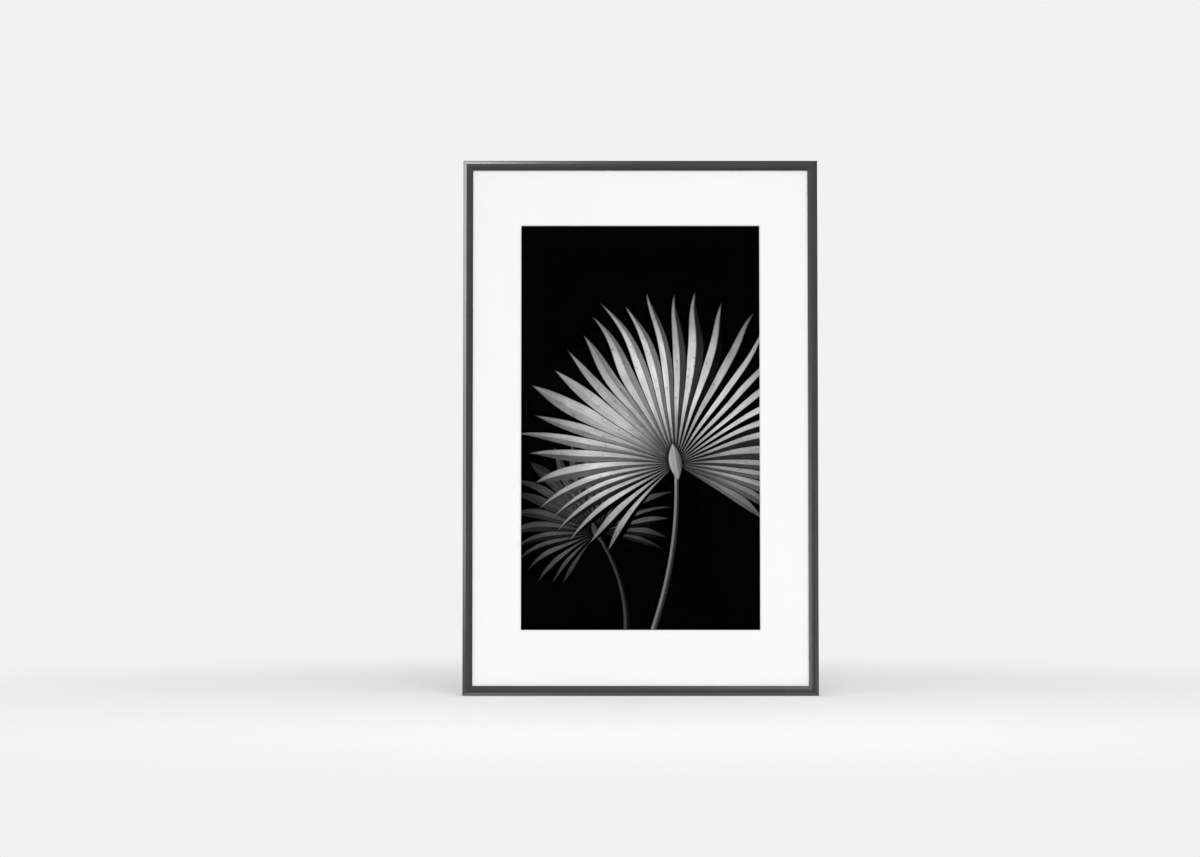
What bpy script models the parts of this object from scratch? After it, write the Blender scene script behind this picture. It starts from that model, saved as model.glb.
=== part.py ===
"""A framed print: four mitred aluminium rails hold clear glazing, a white mat with a bevelled
window, the printed sheet and a hardboard back, pressed together by bowed spring clips. Angle
plates and set screws in the rear channel lock the corners, and a toothed hanger is riveted to
the top rail. Metres, +Z up, the picture faces -Y, and the back of the rails is the wall side.
"""
import math

import bmesh
import bpy
from mathutils import Matrix, Vector

# The whole frame
FRAME_WIDTH = 0.504
FRAME_HEIGHT = 0.760
FRAME_DEPTH = 0.024
TOUCH_GAP = 0.0003
MITRE_SETBACK = TOUCH_GAP / math.sqrt(2)

# Rail section, across from the outer edge and back from the front
FACE_WIDTH = 0.0140
OUTER_CHAMFER_WIDTH = 0.0046
OUTER_CHAMFER_DEPTH = 0.0030
INNER_CHAMFER_WIDTH = 0.0050
INNER_CHAMFER_DEPTH = 0.0022
LIP_DEPTH = 0.0032
OUTER_WALL = 0.0017
WEB_FRONT = 0.0136
WEB_THICKNESS = 0.0012
INNER_WALL_REACH = 0.0112
INNER_WALL = 0.0012
REAR_LIP_THICKNESS = 0.0012
OUTER_LIP_REACH = 0.0035
INNER_LIP_WIDTH = 0.0030
ARRIS_RADIUS = 0.0005
ARC_STEPS = 3

# Rear channel, between the outer and the inner wall
CHANNEL_FRONT = WEB_FRONT + WEB_THICKNESS
CHANNEL_BACK = FRAME_DEPTH - REAR_LIP_THICKNESS
CHANNEL_INNER = INNER_WALL_REACH - INNER_WALL

# Sheets of the package, from the front to the back
SHEET_EDGE = OUTER_WALL + TOUCH_GAP
SHEET_WIDTH = FRAME_WIDTH - 2 * SHEET_EDGE
SHEET_HEIGHT = FRAME_HEIGHT - 2 * SHEET_EDGE
SHEET_ARRIS = 0.0002
GLAZING_THICKNESS = 0.0020
MAT_THICKNESS = 0.0016
PRINT_THICKNESS = 0.0004
BACKING_THICKNESS = 0.0030
GLAZING_FRONT = LIP_DEPTH + TOUCH_GAP
MAT_FRONT = GLAZING_FRONT + GLAZING_THICKNESS + TOUCH_GAP
PRINT_FRONT = MAT_FRONT + MAT_THICKNESS + TOUCH_GAP
BACKING_FRONT = PRINT_FRONT + PRINT_THICKNESS + TOUCH_GAP
PACKAGE_BACK = BACKING_FRONT + BACKING_THICKNESS
WINDOW_WIDTH = 0.3390
WINDOW_HEIGHT = 0.5745
PRINT_MARGIN = 0.0200

# Bowed clips between the package and the web
CLIP_LENGTH = 0.0700
CLIP_WIDTH = 0.0120
CLIP_THICKNESS = 0.0005
CLIP_EDGE = 0.0032
CLIP_STEPS = 12
CLIPS_ON_SHORT_RAIL = 2
CLIPS_ON_LONG_RAIL = 3

# Angle plates and set screws in the rear channel
PLATE_THICKNESS = 0.0020
PLATE_ARM = 0.0380
PLATE_CORNER_RADIUS = 0.0020
SCREW_RADIUS = 0.0020
SCREW_SUNK = 0.0008
SCREW_FROM_END = 0.0070
SCREW_SLOT_WIDTH = 0.0008
SCREW_SLOT_DEPTH = 0.0009
SCREW_TIP_CHAMFER = 0.0004
SCREW_END_CHAMFER = 0.0002

# Toothed hanger and its rivets, under the top rail
HANGER_WIDTH = 0.0640
HANGER_DROP = 0.0140
HANGER_SHEET = 0.0010
HANGER_BACK = 0.0215
HANGER_FRONT = 0.0150
TOOTH_COUNT = 13
TOOTH_PITCH = 0.0040
TOOTH_DEPTH = 0.0015
TOOTH_FLAT = 0.0006
RIVET_SPACING = 0.0500
RIVET_DEPTH = 0.0176
RIVET_SHANK_RADIUS = 0.0015
RIVET_HEAD_RADIUS = 0.0024
RIVET_HEAD_HEIGHT = 0.0011
RIVET_TAIL_RADIUS = 0.0022
RIVET_TAIL_LENGTH = 0.0015
DOME_STEPS = 6

# Round pieces and cutters
ROUND_STEPS = 24
MERGE_DISTANCE = 0.00001
OVERCUT = 0.0010

# Each rail by its name: the middle of its outer edge, its turn about Y, and its length
RAILS = {
    "bottom": ((0, 0, 0), 0, FRAME_WIDTH),
    "top": ((0, 0, FRAME_HEIGHT), math.pi, FRAME_WIDTH),
    "left": ((-FRAME_WIDTH / 2, 0, FRAME_HEIGHT / 2), math.pi / 2, FRAME_HEIGHT),
    "right": ((FRAME_WIDTH / 2, 0, FRAME_HEIGHT / 2), -math.pi / 2, FRAME_HEIGHT),
}

# Each surface by its name: colour, roughness and metallic value
SURFACES = {
    "graphite_aluminium": ((0.075, 0.075, 0.078), 0.38, 1),
    "clear_glazing": ((0.95, 0.97, 0.97), 0.03, 0),
    "mat_board": ((0.93, 0.93, 0.92), 0.90, 0),
    "printed_paper": ((0.02, 0.02, 0.02), 0.60, 0),
    "hardboard": ((0.33, 0.22, 0.13), 0.80, 0),
    "spring_steel": ((0.35, 0.36, 0.38), 0.30, 1),
    "zinc_steel": ((0.62, 0.62, 0.60), 0.35, 1),
}


def start_empty():
    """Take out whatever the file holds."""
    for thing in list(bpy.data.objects):
        bpy.data.objects.remove(thing, do_unlink=True)


def surface(name):
    """The named surface as a Principled material, made once."""
    made = bpy.data.materials.get(name)
    if made:
        return made
    colour, roughness, metallic = SURFACES[name]
    made = bpy.data.materials.new(name)
    made.use_nodes = True
    shader = made.node_tree.nodes["Principled BSDF"]
    shader.inputs["Base Color"].default_value = (*colour, 1)
    shader.inputs["Roughness"].default_value = roughness
    shader.inputs["Metallic"].default_value = metallic
    return made


def mesh_from(shape, name):
    """Turn a finished bmesh into a mesh whose faces point out."""
    bmesh.ops.recalc_face_normals(shape, faces=shape.faces)
    mesh = bpy.data.meshes.new(name)
    shape.to_mesh(mesh)
    shape.free()
    return mesh


def place(name, mesh, surface_name, at=(0, 0, 0), turn=0):
    """Put a mesh in the model as one named part, turned about Y."""
    part = bpy.data.objects.new(name, mesh)
    bpy.context.scene.collection.objects.link(part)
    if not mesh.materials:
        mesh.materials.append(surface(surface_name))
    part.location = at
    part.rotation_euler = (0, turn, 0)
    return part


def rail_frame(rail):
    """The matrix that carries a rail's own space, along X and in along Z, to its side."""
    middle, turn, _ = RAILS[rail]
    return Matrix.Translation(middle) @ Matrix.Rotation(turn, 4, "Y")


def depth(distance):
    """Y of a plane at a distance back from the frame's front."""
    return distance - FRAME_DEPTH / 2


def rounded(corners):
    """An outline from (point, radius) corners, with an arc at each corner that has a radius."""
    outline = []
    for index, (corner, radius) in enumerate(corners):
        here = Vector(corner)
        if not radius:
            outline.append(here)
            continue
        before = (Vector(corners[index - 1][0]) - here).normalized()
        after = (Vector(corners[(index + 1) % len(corners)][0]) - here).normalized()
        half = before.angle(after) / 2
        middle = here + (before + after).normalized() * radius / math.sin(half)
        start = here + before * radius / math.tan(half) - middle
        end = here + after * radius / math.tan(half) - middle
        sweep = start.angle_signed(end)
        for step in range(ARC_STEPS + 1):
            turn = -sweep * step / ARC_STEPS
            outline.append(middle + Matrix.Rotation(turn, 2) @ start)
    return outline


def plate(outline, to_space, thickness):
    """A flat plate: the outline set into space by to_space(a, b, c), with c from 0 to thickness."""
    shape = bmesh.new()
    near = [shape.verts.new(to_space(a, b, 0)) for a, b in outline]
    far = [shape.verts.new(to_space(a, b, thickness)) for a, b in outline]
    join_ends(shape, near, far)
    return shape


def join_ends(shape, first, last):
    """Close two matching loops of corners into a solid."""
    shape.faces.new(first)
    shape.faces.new(reversed(last))
    for index, vert in enumerate(first):
        shape.faces.new((first[index - 1], vert, last[index], last[index - 1]))


def turned(profile):
    """A round body about its own Z, from (radius, height) points that start and end on the axis."""
    shape = bmesh.new()
    chain = [shape.verts.new((radius, 0, height)) for radius, height in profile]
    edges = [shape.edges.new(pair) for pair in zip(chain, chain[1:])]
    bmesh.ops.spin(
        shape,
        geom=chain + edges,
        axis=(0, 0, 1),
        angle=2 * math.pi,
        steps=ROUND_STEPS,
        use_merge=True,
    )
    bmesh.ops.remove_doubles(shape, verts=shape.verts, dist=MERGE_DISTANCE)
    return shape


def drill(radius, thickness):
    """A cutter for a round hole along Z, through a wall that starts at Z 0."""
    low = -OVERCUT
    high = thickness + OVERCUT
    return turned([(0, low), (radius, low), (radius, high), (0, high)])


def box(low, high):
    """A box between two corners."""
    size = [b - a for a, b in zip(low, high)]
    middle = [(a + b) / 2 for a, b in zip(low, high)]
    shape = bmesh.new()
    bmesh.ops.create_cube(shape, size=1, matrix=Matrix.Translation(middle) @ Matrix.Diagonal((*size, 1)))
    return shape


def merged(shapes):
    """One bmesh that holds all the shapes."""
    joined = bmesh.new()
    for shape in shapes:
        loose = mesh_from(shape, "loose")
        joined.from_mesh(loose)
        bpy.data.meshes.remove(loose)
    return joined


def cut(shape, cutters, name):
    """The mesh left when the cutters are taken out of the shape."""
    body = bpy.data.objects.new(name, mesh_from(shape, name))
    tool = bpy.data.objects.new(name + "_cutter", mesh_from(merged(cutters), name + "_cutter"))
    for thing in (body, tool):
        bpy.context.scene.collection.objects.link(thing)
    difference = body.modifiers.new("cut", "BOOLEAN")
    difference.operation = "DIFFERENCE"
    difference.solver = "EXACT"
    difference.object = tool
    graph = bpy.context.evaluated_depsgraph_get()
    mesh = bpy.data.meshes.new_from_object(body.evaluated_get(graph))
    mesh.name = name
    for thing in (body, tool):
        bpy.data.objects.remove(thing, do_unlink=True)
    return mesh


def rail_section():
    """The rail's outline as (across, back): chamfered face, front channel, web, rear channel."""
    slot_inner = INNER_WALL_REACH - INNER_LIP_WIDTH
    return rounded(
        [
            ((0, OUTER_CHAMFER_DEPTH), ARRIS_RADIUS),
            ((OUTER_CHAMFER_WIDTH, 0), ARRIS_RADIUS),
            ((FACE_WIDTH - INNER_CHAMFER_WIDTH, 0), ARRIS_RADIUS),
            ((FACE_WIDTH, INNER_CHAMFER_DEPTH), ARRIS_RADIUS / 2),
            ((FACE_WIDTH, LIP_DEPTH), 0),
            ((OUTER_WALL, LIP_DEPTH), 0),
            ((OUTER_WALL, WEB_FRONT), 0),
            ((INNER_WALL_REACH, WEB_FRONT), 0),
            ((INNER_WALL_REACH, FRAME_DEPTH), 0),
            ((slot_inner, FRAME_DEPTH), 0),
            ((slot_inner, CHANNEL_BACK), 0),
            ((CHANNEL_INNER, CHANNEL_BACK), 0),
            ((CHANNEL_INNER, CHANNEL_FRONT), 0),
            ((OUTER_WALL, CHANNEL_FRONT), 0),
            ((OUTER_WALL, CHANNEL_BACK), 0),
            ((OUTER_LIP_REACH, CHANNEL_BACK), 0),
            ((OUTER_LIP_REACH, FRAME_DEPTH), 0),
            ((0, FRAME_DEPTH), 0),
        ]
    )


def rail_body(length):
    """A rail along X, its outer edge at Z 0: the section drawn out and mitred at both ends."""
    section = rail_section()
    shape = bmesh.new()
    ends = []
    for side in (-1, 1):
        end = []
        for across, back in section:
            along = side * (length / 2 - across - MITRE_SETBACK)
            end.append(shape.verts.new((along, depth(back), across)))
        ends.append(end)
    join_ends(shape, *ends)
    return shape


def add_rails():
    """Four rails, the top one drilled for the hanger's rivets."""
    for rail, (middle, turn, length) in RAILS.items():
        name = "rail_" + rail
        if rail == "top":
            mesh = cut(rail_body(length), rivet_holes(CHANNEL_INNER, INNER_WALL), name)
        else:
            mesh = mesh_from(rail_body(length), name)
        place(name, mesh, "graphite_aluminium", middle, turn)


def add_sheet(name, width, height, front, thickness, surface_name):
    """A flat sheet in the middle of the frame, with its arrises just broken."""
    low = (-width / 2, depth(front), (FRAME_HEIGHT - height) / 2)
    high = (width / 2, depth(front + thickness), (FRAME_HEIGHT + height) / 2)
    part = place(name, mesh_from(box(low, high), name), surface_name)
    arris = part.modifiers.new("arris", "BEVEL")
    arris.width = SHEET_ARRIS
    arris.segments = 1


def add_glazing():
    """The clear sheet behind the lip of the rails."""
    add_sheet("glazing", SHEET_WIDTH, SHEET_HEIGHT, GLAZING_FRONT, GLAZING_THICKNESS, "clear_glazing")


def add_mat():
    """The mat: a board whose window is cut at 45 degrees, wider at the front."""
    mat_back = MAT_FRONT + MAT_THICKNESS
    sheet_half = (SHEET_WIDTH / 2, SHEET_HEIGHT / 2)
    window_back = (WINDOW_WIDTH / 2, WINDOW_HEIGHT / 2)
    window_front = tuple(half + MAT_THICKNESS for half in window_back)
    rims = [
        (sheet_half, MAT_FRONT),
        (window_front, MAT_FRONT),
        (window_back, mat_back),
        (sheet_half, mat_back),
    ]
    shape = bmesh.new()
    loops = []
    for (half_x, half_z), back in rims:
        loop = []
        for side_x, side_z in ((-1, -1), (1, -1), (1, 1), (-1, 1)):
            corner = (side_x * half_x, depth(back), FRAME_HEIGHT / 2 + side_z * half_z)
            loop.append(shape.verts.new(corner))
        loops.append(loop)
    for index, loop in enumerate(loops):
        previous = loops[index - 1]
        for corner in range(4):
            shape.faces.new((previous[corner - 1], previous[corner], loop[corner], loop[corner - 1]))
    place("mat", mesh_from(shape, "mat"), "mat_board")


def add_print():
    """The printed sheet, a margin wider than the window all round."""
    width = WINDOW_WIDTH + 2 * PRINT_MARGIN
    height = WINDOW_HEIGHT + 2 * PRINT_MARGIN
    add_sheet("print", width, height, PRINT_FRONT, PRINT_THICKNESS, "printed_paper")


def add_backing():
    """The hardboard sheet that closes the package."""
    add_sheet("backing", SHEET_WIDTH, SHEET_HEIGHT, BACKING_FRONT, BACKING_THICKNESS, "hardboard")


def clip_body():
    """A bowed strip: its ends press on the package and its middle on the web."""
    low = PACKAGE_BACK + TOUCH_GAP
    rise = WEB_FRONT - TOUCH_GAP - CLIP_THICKNESS - low
    front_side, back_side = [], []
    for step in range(CLIP_STEPS + 1):
        across = step / CLIP_STEPS * 2 - 1
        along = across * CLIP_LENGTH / 2
        bow = low + rise * (1 - across * across)
        front_side.append((along, bow))
        back_side.append((along, bow + CLIP_THICKNESS))
    outline = front_side + back_side[::-1]
    return plate(outline, lambda x, back, z: (x, depth(back), CLIP_EDGE + z), CLIP_WIDTH)


def add_clips():
    """Clips spaced evenly along each rail, numbered round the frame."""
    mesh = mesh_from(clip_body(), "spring_clip")
    number = 0
    for rail, (_, turn, length) in RAILS.items():
        count = CLIPS_ON_LONG_RAIL if length == FRAME_HEIGHT else CLIPS_ON_SHORT_RAIL
        for index in range(count):
            number += 1
            along = length * ((index + 0.5) / count - 0.5)
            at = rail_frame(rail) @ Vector((along, 0, 0))
            place(f"spring_clip_{number}", mesh, "spring_steel", at, turn)


def screw_places():
    """Centres of the two screws of the lower left corner, as (x, z) from the corner."""
    across = (OUTER_WALL + CHANNEL_INNER) / 2
    along = SHEET_EDGE + PLATE_ARM - SCREW_FROM_END
    return [(along, across), (across, along)]


def corner_plate_body():
    """An L of flat steel for the lower left corner, with a hole near the end of each arm."""
    outer = SHEET_EDGE
    inner = CHANNEL_INNER - TOUCH_GAP
    end = outer + PLATE_ARM
    outline = rounded(
        [
            ((outer, outer), PLATE_CORNER_RADIUS),
            ((end, outer), PLATE_CORNER_RADIUS / 2),
            ((end, inner), PLATE_CORNER_RADIUS / 2),
            ((inner, inner), 0),
            ((inner, end), PLATE_CORNER_RADIUS / 2),
            ((outer, end), PLATE_CORNER_RADIUS / 2),
        ]
    )
    front = CHANNEL_BACK - TOUCH_GAP - PLATE_THICKNESS
    solid = plate(outline, lambda x, z, back: (x, depth(front + back), z), PLATE_THICKNESS)
    holes = []
    for x, z in screw_places():
        hole = drill(SCREW_RADIUS + TOUCH_GAP, PLATE_THICKNESS)
        hole.transform(Matrix.Translation((x, depth(front), z)) @ Matrix.Rotation(-math.pi / 2, 4, "X"))
        holes.append(hole)
    return cut(solid, holes, "corner_plate")


def corner_screw_body():
    """A slotted set screw along Y, its tip on the web and its end sunk below the rear lips."""
    tip = CHANNEL_FRONT + TOUCH_GAP
    length = FRAME_DEPTH - SCREW_SUNK - tip
    body = turned(
        [
            (0, 0),
            (SCREW_RADIUS - SCREW_TIP_CHAMFER, 0),
            (SCREW_RADIUS, SCREW_TIP_CHAMFER),
            (SCREW_RADIUS, length - SCREW_END_CHAMFER),
            (SCREW_RADIUS - SCREW_END_CHAMFER, length),
            (0, length),
        ]
    )
    slot = box(
        (-SCREW_RADIUS - OVERCUT, -SCREW_SLOT_WIDTH / 2, length - SCREW_SLOT_DEPTH),
        (SCREW_RADIUS + OVERCUT, SCREW_SLOT_WIDTH / 2, length + OVERCUT),
    )
    mesh = cut(body, [slot], "corner_screw")
    mesh.transform(Matrix.Translation((0, depth(tip), 0)) @ Matrix.Rotation(-math.pi / 2, 4, "X"))
    return mesh


def add_corners():
    """Angle plates and screws, turned to each corner in order round the frame."""
    plate_mesh = corner_plate_body()
    screw_mesh = corner_screw_body()
    half_width = FRAME_WIDTH / 2
    corners = [
        (-half_width, 0, 0),
        (-half_width, FRAME_HEIGHT, math.pi / 2),
        (half_width, FRAME_HEIGHT, math.pi),
        (half_width, 0, -math.pi / 2),
    ]
    screw_number = 0
    for number, (x, z, turn) in enumerate(corners, 1):
        place(f"corner_plate_{number}", plate_mesh, "zinc_steel", (x, 0, z), turn)
        to_corner = Matrix.Translation((x, 0, z)) @ Matrix.Rotation(turn, 4, "Y")
        for screw_x, screw_z in screw_places():
            screw_number += 1
            at = to_corner @ Vector((screw_x, 0, screw_z))
            place(f"corner_screw_{screw_number}", screw_mesh, "zinc_steel", at, turn)


def rivet_holes(wall_start, thickness):
    """Cutters for the two rivet holes, in the top rail's own space, through a wall across it."""
    holes = []
    for side in (-1, 1):
        hole = drill(RIVET_SHANK_RADIUS + TOUCH_GAP, thickness)
        hole.transform(Matrix.Translation((side * RIVET_SPACING / 2, depth(RIVET_DEPTH), wall_start)))
        holes.append(hole)
    return holes


def tooth_notches(foot):
    """Cutters for the notches between the saw teeth, along an edge at Z foot."""
    front = HANGER_BACK - HANGER_SHEET - OVERCUT
    half_notch = (TOOTH_PITCH - TOOTH_FLAT) / 2
    notches = []
    for index in range(TOOTH_COUNT):
        middle = (index - (TOOTH_COUNT - 1) / 2) * TOOTH_PITCH
        outline = [
            (middle - half_notch, foot + OVERCUT),
            (middle - half_notch, foot),
            (middle, foot - TOOTH_DEPTH),
            (middle + half_notch, foot),
            (middle + half_notch, foot + OVERCUT),
        ]
        notches.append(
            plate(outline, lambda x, z, back: (x, depth(front + back), z), HANGER_SHEET + 2 * OVERCUT)
        )
    return notches


def rivet_body(fold):
    """A blind rivet along the rail's own Z: domed head under the strip, tail in the channel."""
    tail_top = CHANNEL_INNER - TOUCH_GAP
    tail_end = tail_top - RIVET_TAIL_LENGTH
    head_foot = fold + TOUCH_GAP
    profile = [
        (0, tail_end),
        (RIVET_TAIL_RADIUS, tail_end),
        (RIVET_TAIL_RADIUS, tail_top),
        (RIVET_SHANK_RADIUS, tail_top),
        (RIVET_SHANK_RADIUS, head_foot),
    ]
    for step in range(DOME_STEPS):
        angle = step / DOME_STEPS * math.pi / 2
        rise = RIVET_HEAD_HEIGHT * math.sin(angle)
        profile.append((RIVET_HEAD_RADIUS * math.cos(angle), head_foot + rise))
    profile.append((0, head_foot + RIVET_HEAD_HEIGHT))
    shape = turned(profile)
    shape.transform(Matrix.Translation((0, depth(RIVET_DEPTH), 0)))
    return mesh_from(shape, "hanger_rivet")


def add_hanger():
    """A folded strip under the top rail, with saw teeth along its lower edge, and two rivets."""
    top = INNER_WALL_REACH + TOUCH_GAP
    fold = top + HANGER_SHEET
    foot = top + HANGER_DROP
    web_front = HANGER_BACK - HANGER_SHEET
    outline = [
        (HANGER_FRONT, top),
        (HANGER_BACK, top),
        (HANGER_BACK, foot),
        (web_front, foot),
        (web_front, fold),
        (HANGER_FRONT, fold),
    ]
    solid = plate(outline, lambda back, z, x: (x - HANGER_WIDTH / 2, depth(back), z), HANGER_WIDTH)
    mesh = cut(solid, rivet_holes(top, HANGER_SHEET) + tooth_notches(foot), "hanger")
    middle, turn, _ = RAILS["top"]
    place("hanger", mesh, "zinc_steel", middle, turn)
    rivet = rivet_body(fold)
    for number, side in enumerate((-1, 1), 1):
        at = rail_frame("top") @ Vector((side * RIVET_SPACING / 2, 0, 0))
        place(f"hanger_rivet_{number}", rivet, "zinc_steel", at, turn)


start_empty()
add_rails()
add_glazing()
add_mat()
add_print()
add_backing()
add_clips()
add_corners()
add_hanger()
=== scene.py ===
import math

import bmesh
import bpy
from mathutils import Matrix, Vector


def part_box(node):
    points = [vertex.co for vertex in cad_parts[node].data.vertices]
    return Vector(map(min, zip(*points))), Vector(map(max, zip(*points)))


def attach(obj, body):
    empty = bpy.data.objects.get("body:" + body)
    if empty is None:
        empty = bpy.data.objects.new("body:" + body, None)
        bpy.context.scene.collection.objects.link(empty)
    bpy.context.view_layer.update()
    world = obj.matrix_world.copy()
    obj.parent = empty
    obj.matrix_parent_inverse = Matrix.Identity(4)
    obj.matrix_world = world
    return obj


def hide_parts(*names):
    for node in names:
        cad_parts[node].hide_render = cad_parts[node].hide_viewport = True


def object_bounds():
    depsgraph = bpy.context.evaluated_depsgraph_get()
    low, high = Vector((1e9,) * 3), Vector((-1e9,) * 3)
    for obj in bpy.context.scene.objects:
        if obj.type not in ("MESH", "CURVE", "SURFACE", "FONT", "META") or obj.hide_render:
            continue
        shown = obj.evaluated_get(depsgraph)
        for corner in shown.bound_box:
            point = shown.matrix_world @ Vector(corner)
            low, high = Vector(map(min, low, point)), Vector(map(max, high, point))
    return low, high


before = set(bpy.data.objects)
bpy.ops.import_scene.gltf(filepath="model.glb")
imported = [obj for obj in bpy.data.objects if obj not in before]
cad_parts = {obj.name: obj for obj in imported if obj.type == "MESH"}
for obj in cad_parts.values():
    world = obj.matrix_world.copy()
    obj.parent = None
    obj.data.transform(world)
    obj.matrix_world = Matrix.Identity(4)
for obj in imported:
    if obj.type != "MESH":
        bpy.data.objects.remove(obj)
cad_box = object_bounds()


# Rails: four lengths of one aluminium extrusion with a chamfered face, a lip over the glazing,
# a web behind the package and a C-shaped channel at the rear. They are sawn at 45 degrees, and
# anodised graphite grey after drawing through a die that leaves faint lines along them.
MM = 0.001
FRAME_LOW, FRAME_HIGH = cad_box
WIDTH, DEPTH, HEIGHT = FRAME_HIGH - FRAME_LOW
MIDDLE_Z = HEIGHT / 2
FRONT = FRAME_LOW.y
FACE = 14.0 * MM
OUTER_WALL = 1.7 * MM
LIP = 3.2 * MM
WEB_FRONT = 13.6 * MM
WEB_BACK = 14.8 * MM
CHANNEL_INNER = 10.0 * MM
INNER_WALL_OUTSIDE = 11.2 * MM
REAR_LIPS = 22.8 * MM
SLOT = (3.5 * MM, 8.2 * MM)
OUTER_CHAMFER = (4.6 * MM, 3.0 * MM)
INNER_CHAMFER = (5.0 * MM, 2.2 * MM)
FACE_ARRIS = 0.28 * MM
HIDDEN_ARRIS = 0.12 * MM
SQUARE = math.radians(85)
FLAT = math.radians(1)
MITRE_HAIRLINE = 0.04 * MM
WELD = 0.001 * MM
SORT_FROM = (1, 2, 3)
SIDES = {
    "bottom": ((0, 0, 0), 0, WIDTH),
    "top": ((0, 0, HEIGHT), math.pi, WIDTH),
    "left": ((-WIDTH / 2, 0, MIDDLE_Z), math.pi / 2, HEIGHT),
    "right": ((WIDTH / 2, 0, MIDDLE_Z), -math.pi / 2, HEIGHT),
}


def begin(name, add, **place):
    """Add a primitive, without a texture map and with nothing else selected, and open it for
    shaping with nothing picked."""
    bpy.ops.object.select_all(action="DESELECT")
    add(calc_uvs=False, **place)
    piece = bpy.context.object
    piece.name = piece.data.name = name
    bpy.ops.object.mode_set(mode="EDIT")
    bpy.ops.mesh.select_all(action="DESELECT")
    return piece


def pick(piece, kind, fits):
    """Select just the open mesh's verts, edges or faces that fit."""
    bpy.ops.mesh.select_mode(type={"verts": "VERT", "edges": "EDGE", "faces": "FACE"}[kind])
    bpy.ops.mesh.select_all(action="DESELECT")
    shape = bmesh.from_edit_mesh(piece.data)
    for item in getattr(shape, kind):
        if fits(item):
            item.select_set(True)
    bmesh.update_edit_mesh(piece.data)


def middle(item):
    """The middle of a face or an edge."""
    return sum((vert.co for vert in item.verts), Vector()) / len(item.verts)


def saw(at, towards, keep_beyond=True, fill=False):
    """Cut the whole open mesh on a plane. If told, drop what lies on the far side, and close the
    cut with one face. The cut's own fill is too coarse for arrises of a tenth of a millimetre."""
    bpy.ops.mesh.select_all(action="SELECT")
    bpy.ops.mesh.bisect(
        plane_co=at,
        plane_no=Vector(towards).normalized(),
        clear_outer=not keep_beyond,
        threshold=WELD,
    )
    if fill:
        bpy.ops.mesh.edge_face_add()


def apply(piece, name, kind, **settings):
    """Add a modifier with its settings, and apply it."""
    made = piece.modifiers.new(name, kind)
    for key, value in settings.items():
        setattr(made, key, value)
    bpy.context.view_layer.objects.active = piece
    bpy.ops.object.modifier_apply(modifier=name)


def close(piece, smooth_angle=30):
    """Leave edit mode with the faces turned outwards and the shading smooth over soft edges."""
    bpy.ops.mesh.select_all(action="SELECT")
    bpy.ops.mesh.normals_make_consistent(inside=False)
    bpy.ops.object.mode_set(mode="OBJECT")
    bpy.ops.object.shade_smooth_by_angle(angle=math.radians(smooth_angle))


def carry(piece, at, turn):
    """Carry a finished mesh to its place, turned about Y, with the object left at the origin."""
    bpy.ops.object.select_all(action="DESELECT")
    piece.select_set(True)
    bpy.context.view_layer.objects.active = piece
    piece.location = at
    piece.rotation_euler = (0, turn, 0)
    bpy.ops.object.transform_apply(location=True, rotation=True, scale=True)


def fit(piece, material, slot, *nodes):
    """Give a piece its material and its body, and let it stand for its nodes. The slot is not used.
    """
    piece.data.materials.clear()
    piece.data.materials.append(material)
    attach(piece, "root")
    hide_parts(*nodes)


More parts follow.
